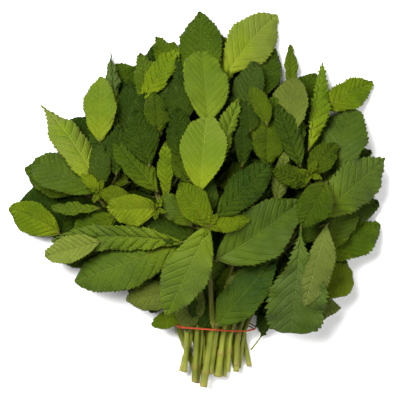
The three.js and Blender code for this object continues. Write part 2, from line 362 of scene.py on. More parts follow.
def bent_line(foot, tip, arch, sweep):
    """A leaf's middle line: nine points of the quadratic curve from foot to tip whose
    middle handle is raised by `arch` and moved aside by `sweep`."""
    level = unit(np.cross(tip - foot, UP))
    middle = (foot + tip) / 2 + UP * arch + level * sweep
    t = np.linspace(0, 1, 9)[:, None]
    return (1 - t) ** 2 * foot + 2 * t * (1 - t) * middle + t**2 * tip


def ahead_of(heading):
    """Direction on the table of a heading in degrees clockwise from +Y."""
    course = np.radians(heading)
    return np.array([np.sin(course), np.cos(course)])


def level_side(line, roll):
    """Sideways directions of a leaf turned by `roll` about its middle line."""
    way = unit(np.gradient(line, axis=0))
    level = unit(np.cross(way, UP))
    return level * np.cos(roll) + np.cross(way, level) * np.sin(roll)


# ---------------------------------------------------------------- stems and stalks
def tube(line, radius, around, square=0.0, turn=0.0):
    """Rings round a line. The radius is given along it, and the section bulges four times
    by `square`, so that it is a rounded square."""
    way = unit(np.gradient(line, axis=0))
    level = unit(np.cross(way, UP + 1e-3))
    other = np.cross(level, way)
    angle = np.linspace(0, 2 * np.pi, around, endpoint=False)
    out = radius[:, None] * (1 + square * np.cos(4 * (angle - turn)))
    return (line[:, None] + (level[:, None] * np.cos(angle)[:, None]
            + other[:, None] * np.sin(angle)[:, None]) * out[..., None])


SHADE_REACH = 22 * MM      # how far past the tie a stem is wholly in the shade
BROWN_REACH = 2.5 * MM     # how far a cut end is browned
UV_LENGTH = 10 * MM        # length of stem for one step of its UV


def add_stem(pile, line, thick_foot, thick_end):
    """A square stem with swollen joints. The radius falls evenly from foot to end and
    swells as a bell curve at each joint. The cut foot is closed by rings drawn in
    towards its middle."""
    along, length = even_line(line, 90)
    run = np.linspace(0, length, len(along))
    radius = np.interp(run, [0, length], [thick_foot / 2, thick_end / 2])
    radius *= 1 + 0.04 * np.sin(run / (9 * MM) + rng.uniform(0, 6))
    step = rng.uniform(24, 34) * MM
    start = rng.uniform(8, 20) * MM
    joint = np.zeros(len(run))
    for place in np.arange(start, length, step):
        joint += np.exp(-((run - place) / (1.7 * MM)) ** 2)
    radius *= 1 + 0.22 * joint
    rings = tube(along, radius, 20, 0.07, rng.uniform(0, 1.5))
    drawn = np.array([0.12, 0.55, 0.86, 0.97])[:, None, None]
    face = along[0] + (rings[:1] - along[0]) * drawn
    face += unit(along[0] - along[1]) * (0.25 * MM * (1 - drawn))
    whole = np.concatenate([face, rings])
    places = np.r_[np.zeros(len(drawn)), run]
    turn = np.linspace(0, 1, rings.shape[1], endpoint=False)
    uv = np.stack(np.broadcast_arrays(turn, (places / UV_LENGTH)[:, None]), -1).reshape(-1, 2)
    uv = np.vstack([uv, [0, length / UV_LENGTH]])
    cut_mark = np.r_[np.ones(len(drawn)), np.exp(-run / BROWN_REACH) * 0.8]
    joint = np.r_[np.zeros(len(drawn)), joint]
    spread = rings.shape[1]
    # Painted shade: how far the stem is darkened, from nothing at the tie to full under the head.
    inside = np.clip((whole[..., 1].ravel() - TIE_LINE) / SHADE_REACH, 0, 1)
    pile.add(whole, along[-1] + unit(along[-1] - along[-2]) * 0.5 * MM, uv,
             cut=np.r_[np.repeat(cut_mark, spread), 0], joint=np.r_[np.repeat(joint, spread), 0],
             inside=np.r_[inside, 1], tone=rng.uniform(0, 1))
    return along


def add_stalk(pile, foot, way, stems, radius=0.75 * MM):
    """A thin stalk from a leaf's foot to the nearest stem: it turns down behind the leaf
    at once and bends into the stem."""
    gap = np.linalg.norm(stems - foot, axis=1) + 2.0 * np.maximum(stems[:, 1] - foot[1], 0)
    goal = stems[gap.argmin()]
    back = foot - unit(way) * 1.2 * MM - UP * min(5 * MM, 0.5 * foot[2])
    near = goal + (back - goal) * 0.35
    line = through(np.array([foot + unit(way) * 2.5 * MM, foot, back, near, goal]),
                   np.linspace(0, 1, 14))
    line[:, 2] = np.maximum(line[:, 2], 1.2 * MM)
    rings = tube(line, np.linspace(0.8, 1.25, 14) * radius, 8, 0.05)
    run = np.linspace(0, 2, 14)
    turn = np.linspace(0, 1, 8, endpoint=False)
    uv = np.stack(np.broadcast_arrays(turn, run[:, None]), -1).reshape(-1, 2)
    # A stalk lies wholly under the leaves, so it gets the full painted shade.
    pile.add(rings, line[-1], np.vstack([uv, [0, 2]]), cut=0.0, joint=0.0, inside=1.0,
             tone=rng.uniform(0, 1))


# ---------------------------------------------------------------- shader tools
class Wires:
    """Short words for placing and joining nodes in one tree."""

    def __init__(self, tree):
        self.tree = tree

    def node(self, kind, **settings):
        made = self.tree.nodes.new(kind)
        for key, value in settings.items():
            setattr(made, key, value)
        return made

    def put(self, value, socket):
        if isinstance(value, bpy.types.NodeSocket):
            self.tree.links.new(value, socket)
        else:
            socket.default_value = value

    def math(self, work, a, b=0.0, clamp=False):
        made = self.node("ShaderNodeMath", operation=work, use_clamp=clamp)
        self.put(a, made.inputs[0])
        self.put(b, made.inputs[1])
        return made.outputs[0]

    def mix(self, share, a, b, blend="MIX"):
        made = self.node("ShaderNodeMix", data_type="RGBA", blend_type=blend)
        self.put(share, made.inputs[0])
        self.put(a, made.inputs[6])
        self.put(b, made.inputs[7])
        return made.outputs[2]

    def ramp(self, value, low, high, to_low=0.0, to_high=1.0):
        made = self.node("ShaderNodeMapRange", interpolation_type="SMOOTHSTEP")
        for socket, part in zip(made.inputs, (value, low, high, to_low, to_high)):
            self.put(part, socket)
        return made.outputs[0]

    def noise(self, place, scale, detail=3.0, rough=0.5):
        made = self.node("ShaderNodeTexNoise")
        self.put(place, made.inputs["Vector"])
        self.put(scale, made.inputs["Scale"])
        self.put(detail, made.inputs["Detail"])
        self.put(rough, made.inputs["Roughness"])
        return made.outputs[0]

    def bump(self, height, distance, strength=1.0):
        made = self.node("ShaderNodeBump")
        self.put(height, made.inputs["Height"])
        self.put(distance, made.inputs["Distance"])
        self.put(strength, made.inputs["Strength"])
        return made.outputs[0]

    def attribute(self, name):
        return self.node("ShaderNodeAttribute", attribute_name=name).outputs["Fac"]


def group(name, inputs, outputs):
    """An empty shader group with named number and colour sockets."""
    tree = bpy.data.node_groups.new(name, "ShaderNodeTree")
    kinds = {"number": "NodeSocketFloat", "colour": "NodeSocketColor", "vector": "NodeSocketVector"}
    for word, kind in inputs:
        tree.interface.new_socket(word, in_out="INPUT", socket_type=kinds[kind])
    for word, kind in outputs:
        tree.interface.new_socket(word, in_out="OUTPUT", socket_type=kinds[kind])
    wires = Wires(tree)
    return wires, wires.node("NodeGroupInput").outputs, wires.node("NodeGroupOutput").inputs


def vein_group():
    """Where the veins run on a blade. The lie of the blade comes as sideways and along,
    both in vein spacings. Side veins are where the phase is a whole number, and the net
    of small veins is the edges of Voronoi cells."""
    w, have, give = group("mint_veins", [("Lie", "vector")],
                          [("Midrib", "number"), ("Side veins", "number"),
                           ("Net", "number"), ("Bulge", "number")])
    parts = w.node("ShaderNodeSeparateXYZ")
    w.put(have["Lie"], parts.inputs[0])
    wander = w.math("MULTIPLY", w.math("SUBTRACT", w.noise(have["Lie"], 0.9, 2.0), 0.5), 0.4)
    out = w.math("ABSOLUTE", parts.outputs[0])
    climb = w.math("MULTIPLY", out, VEIN_SLOPE)
    curve = w.math("MULTIPLY", w.math("MULTIPLY", out, out), VEIN_CURVE)
    phase = w.math("SUBTRACT", w.math("SUBTRACT", parts.outputs[1], climb), curve)
    phase = w.math("ADD", phase, wander)
    off = w.math("ABSOLUTE", w.math("SUBTRACT", w.math("FRACT", w.math("ADD", phase, 0.5)), 0.5))
    w.put(w.ramp(out, 0.07, 0.015), give["Midrib"])
    w.put(w.ramp(off, 0.13, 0.01), give["Side veins"])
    cells = w.node("ShaderNodeTexVoronoi", feature="DISTANCE_TO_EDGE")
    w.put(have["Lie"], cells.inputs["Vector"])
    w.put(4.2, cells.inputs["Scale"])
    w.put(w.ramp(cells.outputs["Distance"], 0.09, 0.01), give["Net"])
    w.put(w.ramp(cells.outputs["Distance"], 0.0, 0.32), give["Bulge"])
    return w.tree


VEINS = vein_group()


def finish(name):
    """A material with its Principled shader, ready for wiring."""
    made = bpy.data.materials.new(name)
    made.use_nodes = True
    made.node_tree.nodes.clear()
    w = Wires(made.node_tree)
    shader = w.node("ShaderNodeBsdfPrincipled")
    w.put(shader.outputs[0], w.node("ShaderNodeOutputMaterial").inputs[0])
    return made, w, shader.inputs


def leaf_finish(name, deep, light, heart, vein, under, dust_and_sheen_grey, rough, bump, lines=0.15):
    """Leaf blade: deep and light greens clouded together, a patchy dull grey that is partly the
    leaf's own and partly painted sheen, paler veins and a pale matt underside. On the upper
    face the bulges between the veins are painted lighter (painted light) and the net of small
    veins is painted darker (painted shade in its grooves). The relief is side veins and net
    sunk in the upper face. `lines` is how far the side veins show on the upper face."""
    made, w, socket = finish(name)
    lie = w.node("ShaderNodeUVMap", uv_map="lie").outputs[0]
    place = w.node("ShaderNodeTexCoord").outputs["Object"]
    veins = w.node("ShaderNodeGroup", node_tree=VEINS)
    w.put(lie, veins.inputs["Lie"])
    upper, tone = w.attribute("upper"), w.attribute("tone")
    clouds = w.noise(place, 95.0, 4.0)
    drift = w.noise(place, 30.0, 2.0)
    along, crease = w.attribute("along"), w.attribute("crease")
    share = w.math("ADD", w.math("MULTIPLY", w.math("SUBTRACT", clouds, 0.5), 1.3), tone,
                   clamp=True)
    top = w.mix(share, deep, light)
    # Painted sheen: a patchy grey mixed in where dust is set, partly the leaf's own dull grey and
    # partly sheen painted as colour.
    dust_and_sheen_share = w.math("MULTIPLY", w.ramp(drift, 0.36, 0.6, 0.25, 1.0), w.attribute("dust"))
    top = w.mix(dust_and_sheen_share, top, dust_and_sheen_grey)
    top = w.mix(w.ramp(along, 0.55, 0.05, 0.0, 0.4), top, heart)
    # Painted light: the bulges between the veins are made lighter, as if lit.
    raised = w.math("MULTIPLY", w.math("MULTIPLY", veins.outputs["Bulge"], 0.25), crease,
                    clamp=True)
    top = w.mix(raised, top, light)
    # Painted shade: the net of small veins is made darker, as shade in its grooves.
    painted_groove_shade = w.math("MULTIPLY", w.math("MULTIPLY", veins.outputs["Net"], 0.5), crease, clamp=True)
    top = w.mix(painted_groove_shade, top, deep)
    top = w.mix(w.ramp(w.attribute("margin"), 0.93, 1.0, 0.0, 0.35), top, light)
    lined = w.math("MULTIPLY", veins.outputs["Side veins"], lines)
    top = w.mix(lined, top, vein)
    top = w.mix(w.math("MULTIPLY", veins.outputs["Midrib"], 0.33), top, vein)
    below = w.mix(w.math("MULTIPLY", clouds, 0.5), under, light)
    below = w.mix(w.math("MULTIPLY", veins.outputs["Side veins"], 0.6), below, vein)
    below = w.mix(w.math("MULTIPLY", veins.outputs["Midrib"], 0.85), below, vein)
    w.put(w.mix(upper, below, top), socket["Base Color"])
    grain = w.noise(place, 900.0, 2.0)
    w.put(w.ramp(w.math("ADD", clouds, w.math("MULTIPLY", grain, 0.5)), 0.4, 1.1,
                 rough - 0.08, rough + 0.12), socket["Roughness"])
    sunk = w.math("ADD", veins.outputs["Side veins"],
                  w.math("MULTIPLY", veins.outputs["Midrib"], 1.2))
    relief = w.math("SUBTRACT", w.math("MULTIPLY", veins.outputs["Bulge"], 0.45), sunk)
    relief = w.math("MULTIPLY", relief, crease)
    relief = w.math("ADD", relief, w.math("MULTIPLY", grain, 0.12))
    w.put(w.bump(relief, bump, 0.75), socket["Normal"])
    socket["Subsurface Weight"].default_value = 0.12
    socket["Subsurface Radius"].default_value = (0.6, 1.0, 0.2)
    socket["Subsurface Scale"].default_value = 0.8 * MM
    socket["Specular IOR Level"].default_value = 0.06
    return made


SHADED_STEM = (0.062, 0.060, 0.007, 1)
BROWNED_CUT = (0.30, 0.22, 0.07, 1)


def stem_finish(name, deep, light, flush, rough):
    """Stem skin: long streaks of two greens, a brown flush at the joints and at the cut, and
    painted shade, a dark olive, over the stem where it lies under the head."""
    made, w, socket = finish(name)
    lie = w.node("ShaderNodeUVMap", uv_map="lie").outputs[0]
    place = w.node("ShaderNodeTexCoord").outputs["Object"]
    stretch = w.node("ShaderNodeMapping")
    stretch.inputs["Scale"].default_value = (16.0, 0.5, 1.0)
    w.put(lie, stretch.inputs["Vector"])
    streak = w.noise(stretch.outputs[0], 1.0, 3.0)
    clouds = w.noise(place, 120.0, 3.0)
    share = w.math("ADD", w.math("MULTIPLY", streak, 0.7),
                   w.math("MULTIPLY", w.math("SUBTRACT", clouds, 0.4), 0.8))
    own = w.math("MULTIPLY", w.math("SUBTRACT", w.attribute("tone"), 0.5), 0.7)
    colour = w.mix(w.math("ADD", share, own, clamp=True), deep, light)
    blush = w.math("MULTIPLY", w.attribute("joint"), w.ramp(clouds, 0.35, 0.65, 0.1, 0.7))
    colour = w.mix(blush, colour, flush)
    # Painted shade: the dark olive laid over the stem where it lies under the head of leaves.
    shaded = w.math("MULTIPLY", w.attribute("inside"), w.ramp(clouds, 0.3, 0.6, 0.75, 0.95))
    colour = w.mix(shaded, colour, SHADED_STEM)
    browned = w.math("MULTIPLY", w.attribute("cut"), w.ramp(clouds, 0.35, 0.6, 0.25, 0.8))
    colour = w.mix(browned, colour, BROWNED_CUT)
    w.put(colour, socket["Base Color"])
    w.put(w.ramp(clouds, 0.2, 0.8, rough - 0.08, rough + 0.12), socket["Roughness"])
    w.put(w.bump(streak, 0.25 * MM, 0.6), socket["Normal"])
    socket["Subsurface Weight"].default_value = 0.2
    socket["Subsurface Radius"].default_value = (0.8, 1.0, 0.3)
    socket["Subsurface Scale"].default_value = 1.2 * MM
    socket["Specular IOR Level"].default_value = 0.2
    return made


def rubber_finish():
    """Red rubber: two reds clouded together by a fine speckle."""
    made, w, socket = finish("red_rubber")
    place = w.node("ShaderNodeTexCoord").outputs["Object"]
    dust = w.noise(place, 600.0, 3.0)
    w.put(w.mix(dust, (0.24, 0.024, 0.006, 1), (0.38, 0.055, 0.014, 1)), socket["Base Color"])
    w.put(w.ramp(dust, 0.3, 0.7, 0.42, 0.6), socket["Roughness"])
    w.put(w.bump(dust, 0.06 * MM), socket["Normal"])
    socket["Specular IOR Level"].default_value = 0.2
    return made


FINISH = {
    "leaf_young": leaf_finish(
        "mint_leaf_young", deep=(0.056, 0.098, 0.001, 1), light=(0.155, 0.205, 0.003, 1),
        heart=(0.19, 0.215, 0.004, 1), vein=(0.28, 0.33, 0.05, 1), under=(0.13, 0.16, 0.02, 1),
        dust_and_sheen_grey=(0.090, 0.115, 0.014, 1), rough=0.58, bump=1.9 * MM, lines=0.18),
    "leaf_mature": leaf_finish(
        "mint_leaf_mature", deep=(0.026, 0.052, 0.001, 1), light=(0.080, 0.122, 0.002, 1),
        heart=(0.12, 0.155, 0.003, 1), vein=(0.17, 0.21, 0.03, 1), under=(0.11, 0.14, 0.025, 1),
        dust_and_sheen_grey=(0.058, 0.085, 0.013, 1), rough=0.55, bump=1.6 * MM),
    "leaf_dark": leaf_finish(
        "mint_leaf_dark", deep=(0.011, 0.028, 0.001, 1), light=(0.046, 0.076, 0.002, 1),
        heart=(0.065, 0.098, 0.003, 1), vein=(0.10, 0.14, 0.025, 1), under=(0.09, 0.12, 0.025, 1),
        dust_and_sheen_grey=(0.050, 0.074, 0.016, 1), rough=0.5, bump=1.6 * MM),
    "leaf_pale": leaf_finish(
        "mint_leaf_pale", deep=(0.058, 0.076, 0.008, 1), light=(0.13, 0.165, 0.022, 1),
        heart=(0.095, 0.12, 0.015, 1), vein=(0.24, 0.28, 0.07, 1), under=(0.13, 0.16, 0.035, 1),
        dust_and_sheen_grey=(0.072, 0.092, 0.022, 1), rough=0.62, bump=1.5 * MM, lines=0.18),
    "stem": stem_finish("mint_stem", (0.075, 0.09, 0.005, 1), (0.22, 0.24, 0.022, 1),
                        (0.15, 0.09, 0.02, 1), 0.5),
    "stalk": stem_finish("mint_leaf_stalk", (0.07, 0.11, 0.004, 1), (0.15, 0.20, 0.012, 1),
                         (0.10, 0.10, 0.02, 1), 0.5),
    "rubber_band": rubber_finish(),
}


# ---------------------------------------------------------------- stems
# Thinner stems among those of the frame, in millimetres: cut end [x, y], place across the
# tie, height at the tie, end in the head [x, y, z], thickness.
THIN_STEMS = [
    ((-7, -105), -6.0, 14.0, (-30, -45, 24), 3.2),
    ((-1, -111), 0.5, 14.2, (-10, -40, 30), 3.6),
    ((9, -106), 13.0, 14.4, (22, -40, 28), 3.4),
    ((24, -101), 27.0, 13.0, (62, -38, 18), 3.0),
    ((5, -100), 3.2, 9.8, (0, 0, 14), 3.0),
    ((17, -108), 19.6, 9.8, (36, -20, 18), 3.0),
    ((26, -103), 30.5, 9.0, (70, -35, 12), 2.8),
]


def build_thin_stems():
    pile, lines = Pile(), []
    for (cut_x, cut_y), tie_x, tie_z, end, thick in THIN_STEMS:
        at_tie = np.array([tie_x * MM, TIE_LINE, tie_z * MM])
        foot = np.array([cut_x, cut_y, tie_z - 4.5]) * MM
        end = np.array(end) * MM
        climb = at_tie + (end - at_tie) * np.array([0.3, 0.4, 0.45])
        line = through(np.array([foot, at_tie, climb, end]), np.linspace(0, 1, 20))
        lines.append(add_stem(pile, line, thick * MM, 0.6 * thick * MM))
    pile.piece("thin_stems", FINISH["stem"], "stem")
    return lines


def build_stems():
    """Every stem of the frame, each on the middle line of its solid."""
    lines = []
    for node in [n for n in SLOT_OF if n.startswith("stem_")]:
        rings, end = rings_of(node)
        line = np.vstack([rings.mean(1), end])
        thick = 2 * np.linalg.norm(rings[0] - rings[0].mean(0), axis=1).mean()
        pile = Pile()
        lines.append(add_stem(pile, line, thick, 0.5 * thick))
        pile.piece(node.replace("stem_", "cut_stem_"), FINISH["stem"], "stem", [node])
    return lines


# ---------------------------------------------------------------- rubber band
BAND_STAND = 2.5 * MM      # how far the band stands off the stems' middle lines
BAND_THICK = 0.28 * MM     # half its thickness, and half its width
BAND_WIDE = 0.36 * MM
BAND_TILT = 0.24           # how far its front sags, for its height
BAND_LEAN = 0.07           # how far it falls to the right
BAND_SPREAD = 0.9 * MM     # half the way between its two turns


def build_band(lines, reach=6 * MM):
    """A loop wound twice round the stems. At each turn it stands off the furthest stem
    that way, its two turns lie side by side and change places once round."""
    low, high = (np.array(corner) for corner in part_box("rubber_band"))
    close = np.vstack([line[np.abs(line[:, 1] - TIE_LINE) < reach] for line in lines])
    turn = np.linspace(0, 4 * np.pi, 360, endpoint=False)
    way = np.stack([np.cos(turn), np.zeros_like(turn), np.sin(turn)], 1)
    edge = close[(way @ close.T).argmax(1)]
    swap = turn / 2 + np.pi / 4
    stand = BAND_STAND + 0.5 * MM * np.sin(swap)
    line = edge + way * stand[:, None]
    for _ in range(10):
        line = (np.roll(line, 1, 0) + 2 * line + np.roll(line, -1, 0)) / 4
    middle = (low + high) / 2
    line[:, 1] = (TIE_LINE - BAND_TILT * (line[:, 2] - middle[2])
                  - BAND_LEAN * (line[:, 0] - middle[0]) + BAND_SPREAD * np.cos(swap))
    line[:, 2] = np.clip(line[:, 2], low[2] + 0.7 * MM, high[2])
    ring_way = unit(np.roll(line, -1, 0) - np.roll(line, 1, 0))
    other = unit(np.cross(ring_way, way))
    angle = np.linspace(0, 2 * np.pi, 10, endpoint=False)
    rings = (line[:, None] + way[:, None] * (BAND_THICK * np.cos(angle))[:, None]
             + other[:, None] * (BAND_WIDE * np.sin(angle))[:, None])
    rows, around = rings.shape[:2]
    here = np.arange(rows * around).reshape(rows, around)
    on, next_row = np.roll(here, -1, 1), np.roll(here, -1, 0)
    quads = np.stack([here, on, np.roll(on, -1, 0), next_row], -1).reshape(-1, 4)
    mesh = bpy.data.meshes.new("rubber_band_loop")
    mesh.from_pydata(rings.reshape(-1, 3).tolist(), [], quads.tolist())
    mesh.polygons.foreach_set("use_smooth", np.ones(len(quads), bool))
    mesh.materials.append(FINISH["rubber_band"])
    face_out(mesh)
    obj = put_in("rubber_band_loop", mesh)
    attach(obj, "root")
    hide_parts("rubber_band")


# ---------------------------------------------------------------- leaves of the frame
# What each leaf of the frame has of its own.
LEAF_LOOKS = {
    "leaf_front_1": look(tone=0.1, dust=0.0, quilt=1.8, sharp=0.1),
    "leaf_front_2": look(tone=0.1, dust=0.0, quilt=1.9, full=1.0),
    "leaf_front_3": look(tone=0.6, dust=0.7, full=1.0, sharp=0.3, quilt=0.6),
    "leaf_front_4": look(tone=0.6, dust=0.5, full=1.0, quilt=0.7),
    "leaf_front_5": look(tone=0.1, dust=0.0, quilt=0.7),
    "leaf_front_6": look(tone=0.0, dust=0.6, full=1.15, sharp=-0.1, quilt=0.4),
    "leaf_front_7": look(tone=1.0, dust=0.3, sharp=0.2, right=0.5),
    "leaf_centre_1": look(tone=1.0, dust=0.2),
    "leaf_centre_2": look(tone=0.0, dust=0.0, full=1.05, quilt=1.8),
    "leaf_centre_3": look(tone=0.2, dust=0.0, full=1.1),
    "leaf_centre_4": look(tone=0.1, dust=0.0, full=1.05, quilt=2.0),
    "leaf_centre_5": look(tone=0.1, dust=0.0, full=1.05, quilt=2.0),
    "leaf_left_1": look(tone=0.0, dust=1.0, sharp=1.3, ragged=1.2, quilt=0.8),
    "leaf_left_2": look(tone=0.5, dust=0.4, full=1.1, sharp=0.4),
    "leaf_left_3": look(tone=0.7, dust=0.2, full=1.1, sharp=0.0, quilt=1.4),
    "leaf_left_4": look(tone=0.6, dust=0.3),
    "leaf_left_5": look(tone=0.2, dust=0.0),
    "leaf_left_6": look(tone=0.2, dust=0.0, quilt=1.3),
    "leaf_lower_left_1": look(tone=0.5, dust=0.6, quilt=1.4),
    "leaf_lower_left_2": look(tone=0.2, dust=0.3, full=1.15, sharp=0.0),
    # Painted light: this leaf's tone is raised to full to outweigh the shade it lies in.
    "leaf_lower_left_3": look(tone=1.0, dust=0.0, quilt=1.6),
    "leaf_upper_left_1": look(tone=0.0, dust=0.8, full=1.0, sharp=0.1, quilt=0.5),
    "leaf_upper_left_2": look(tone=0.8, dust=0.9, sharp=0.3, ragged=1.2),
    "leaf_top_left_1": look(tone=0.2, dust=0.0, sharp=0.3, ragged=1.4),
    "leaf_top_left_2": look(tone=0.6, dust=0.0, sharp=0.6, ragged=1.5),
    "leaf_top_1": look(tone=0.8, dust=0.4, full=1.1, sharp=-0.1, quilt=0.5),
    # leaf_top_2: its low tone is painted shadow, where leaf_top_1 lies over it.
    "leaf_top_2": look(tone=-0.2, dust=0.0, full=1.0, sharp=0.35, ragged=1.2, quilt=1.7),
    "leaf_top_3": look(tone=0.3, dust=0.9, full=1.15, sharp=0.3, ragged=1.2, quilt=0.5),
    "leaf_top_4": look(tone=0.3, dust=0.4),
    "leaf_top_5": look(tone=0.4, dust=0.0, ragged=1.3),
    "leaf_upper_right_1": look(tone=-0.5, dust=0.0, sharp=0.7, left=0.25, ragged=1.3),
    "leaf_upper_right_2": look(tone=0.1, dust=0.0, full=1.1, sharp=0.1, quilt=0.8),
    "leaf_upper_right_3": look(tone=0.3, dust=0.2, quilt=1.8),
    "leaf_upper_right_4": look(tone=0.1, dust=0.0, sharp=0.3, ragged=1.5),
    "leaf_right_1": look(tone=0.2, dust=0.1, quilt=2.2),
    "leaf_right_2": look(tone=0.2, dust=0.1, quilt=2.2, sharp=0.3),
    "leaf_right_3": look(tone=0.0, dust=0.3, quilt=1.6),
    "leaf_right_4": look(tone=0.5, dust=0.5, full=1.2, sharp=-0.1),
    "leaf_right_5": look(tone=-0.4, dust=0.6, full=1.0, sharp=0.5, ragged=1.3),
    "leaf_centre_right_1": look(tone=0.9, dust=0.1, full=1.1, quilt=1.5),
    "leaf_centre_right_2": look(tone=0.0, dust=0.1),
    "leaf_lower_right_1": look(tone=0.5, dust=0.7, full=2.5, sharp=-0.4, left=1.3,
                               ragged=1.8, quilt=0.7),
    "leaf_lower_right_2": look(tone=-0.9, dust=0.5, full=1.1, left=1.2, right=0.7, quilt=0.8),
    "leaf_lower_right_3": look(tone=0.3, dust=0.0, ragged=1.4),
    # Painted light: this leaf's tone is raised to outweigh the shade of the leaf foot over it.
    "leaf_lower_right_4": look(tone=0.6, dust=0.5, full=1.0, sharp=0.0),
    "leaf_lower_right_5": look(tone=0.2, dust=0.4, sharp=0.3),
}


def build_frame_leaves(stems):
    """Every leaf of the frame, and a stalk from each to its stem."""
    stalks = Pile()
    feet = {}
    for node in [n for n in SLOT_OF if n.startswith("leaf_")]:
        spine, side, half, cup = blade_of(node)
        pile = Pile()
        kind = SLOT_OF[node]
        line = add_leaf(pile, spine, side, half, cup, kind, own=LEAF_LOOKS[node])
        pile.piece(node.replace("leaf_", "mint_leaf_"), FINISH[kind], kind, [node])
        add_stalk(stalks, line[0], line[1] - line[0], stems)
        feet[node] = line
    return stalks, feet


# ---------------------------------------------------------------- the rest of the head
# Smaller leaves, by the leaf of the frame that they stand near: step from its foot [x, y]
# in millimetres, share of the dome's height, heading in degrees clockwise from +Y, length,
# width, kind, roll, and what they have of their own.
SMALL_LEAVES = {
    "leaf_front_1": [
        ((0, 0), 1.12, 80, 25, 10, "leaf_young", 0, look(tone=0.6, dust=0.0)),
        ((-10, 0), 1.0, -45, 25, 15, "leaf_mature", -10, look(tone=0.4, dust=0.8, quilt=0.5)),
        ((-5, -10), 0.85, -70, 35, 14, "leaf_dark", 0, look(tone=0.3)),
        ((-10, -30), 0.6, -175, 35, 18, "leaf_pale", 0, look(tone=-0.2, dust=0.3)),
        ((5, -20), 0.5, 175, 35, 18, "leaf_dark", 0, look(tone=0.3)),
        ((15, -25), 0.4, 150, 35, 18, "leaf_dark", 0, look(tone=0.2)),
        ((-25, -25), 0.4, -160, 30, 18, "leaf_dark", 0, look(tone=0.2)),
        ((10, -40), 0.75, 40, 15, 8, "leaf_pale", 20, look(tone=0.0)),
        ((20, 10), 0.85, 35, 25, 14, "leaf_dark", 15, look(tone=0.3, dust=0.6)),
        ((0, 5), 0.9, -20, 35, 22, "leaf_dark", 0, look(tone=0.1)),
    ],
    "leaf_centre_1": [
        ((20, 15), 0.95, -35, 20, 10, "leaf_mature", 10, look(tone=0.2, quilt=1.8)),
        ((0, 45), 0.8, -5, 25, 16, "leaf_mature", 15, look(tone=0.1, quilt=1.5)),
        ((15, 50), 0.78, -10, 30, 18, "leaf_dark", -15, look(tone=0.3, quilt=1.5)),
        ((15, 60), 0.75, -5, 35, 8, "leaf_dark", 25, look(tone=0.0)),
        ((-15, 5), 1.0, -75, 20, 12, "leaf_young", 15, look(tone=0.1, quilt=2.0)),
        ((-5, 35), 0.7, -5, 35, 20, "leaf_dark", 0, look(tone=0.0)),
        ((-15, 25), 0.7, -50, 35, 18, "leaf_dark", 0, look(tone=0.1)),
        ((10, 45), 0.6, -20, 40, 22, "leaf_dark", 0, look(tone=0.0)),
    ],
    "leaf_top_1": [
        ((10, 25), 0.6, -5, 30, 16, "leaf_mature", 20, look(tone=0.3, ragged=1.4)),
        ((-35, 10), 0.6, -10, 35, 14, "leaf_mature", 0, look(tone=0.3, ragged=1.5)),
        ((35, 0), 0.95, -25, 25, 14, "leaf_mature", -15, look(tone=0.8, left=0.5)),
        ((50, 20), 0.5, 0, 30, 8, "leaf_mature", 20, look(tone=0.9, ragged=0.7, sharp=0.1)),
        ((25, -5), 0.8, -5, 20, 12, "leaf_dark", 0, look(tone=0.2)),
        ((20, -25), 0.85, 0, 25, 10, "leaf_dark", 20, look(tone=0.0)),
        ((25, -15), 0.75, 35, 40, 20, "leaf_mature", 0, look(tone=0.0)),
        ((15, -15), 0.7, 10, 40, 22, "leaf_dark", 0, look(tone=0.2)),
    ],
    "leaf_left_2": [
        ((0, 0), 1.0, -45, 15, 7, "leaf_young", 0, look(tone=1.0, dust=0.0)),
        ((10, 10), 0.8, 5, 30, 13, "leaf_dark", 15, look(tone=0.2)),
        ((15, 35), 0.5, 5, 30, 16, "leaf_dark", -10, look(tone=0.0)),
        ((10, -15), 0.8, -110, 30, 16, "leaf_mature", 10, look(tone=0.3, dust=0.0)),
        ((0, -30), 1.0, -105, 35, 16, "leaf_pale", 10, look(tone=1.0, dust=0.0)),
        ((5, -40), 0.5, -90, 30, 14, "leaf_dark", 0, look(tone=0.7, dust=0.0)),
    ],
    "leaf_lower_left_3": [
        ((5, -15), 0.5, -105, 20, 10, "leaf_young", 0, look(tone=-0.1, dust=0.0)),
    ],
    "leaf_right_1": [
        ((5, -5), 0.75, -150, 30, 13, "leaf_dark", 0, look(tone=0.2)),
        ((25, 10), 0.6, 70, 15, 7, "leaf_mature", 0, look(tone=0.1, ragged=1.5)),
        ((5, -55), 0.6, 60, 25, 12, "leaf_dark", 0, look(tone=0.4)),
        ((-15, 5), 0.8, 15, 35, 18, "leaf_mature", 10, look(tone=0.0, quilt=1.5)),
    ],
    "leaf_lower_right_1": [
        ((0, -10), 1.0, 35, 30, 18, "leaf_dark", 0, look(tone=0.3, quilt=1.4)),
        ((15, -15), 0.95, 30, 35, 16, "leaf_mature", 0, look(tone=-0.1, dust=0.5)),
        ((15, 5), 0.6, 75, 35, 20, "leaf_dark", 0, look(tone=0.5)),
        ((-10, -15), 0.75, 180, 40, 18, "leaf_dark", 0, look(tone=0.1)),
        ((-20, -25), 0.6, 165, 35, 18, "leaf_dark", 0, look(tone=0.0)),
        ((-20, -50), 0.6, -165, 15, 8, "leaf_dark", 20, look(tone=0.2)),
    ],
}


def head_height(place):
    """Height of the dome of leaves: full in the middle, falling away to its rim."""
    out = np.linalg.norm(np.asarray(place) - HEAD_MIDDLE) / HEAD_RADIUS
    return HEAD_HEIGHT * max(0.04, 1 - min(1.0, out) ** 1.7)


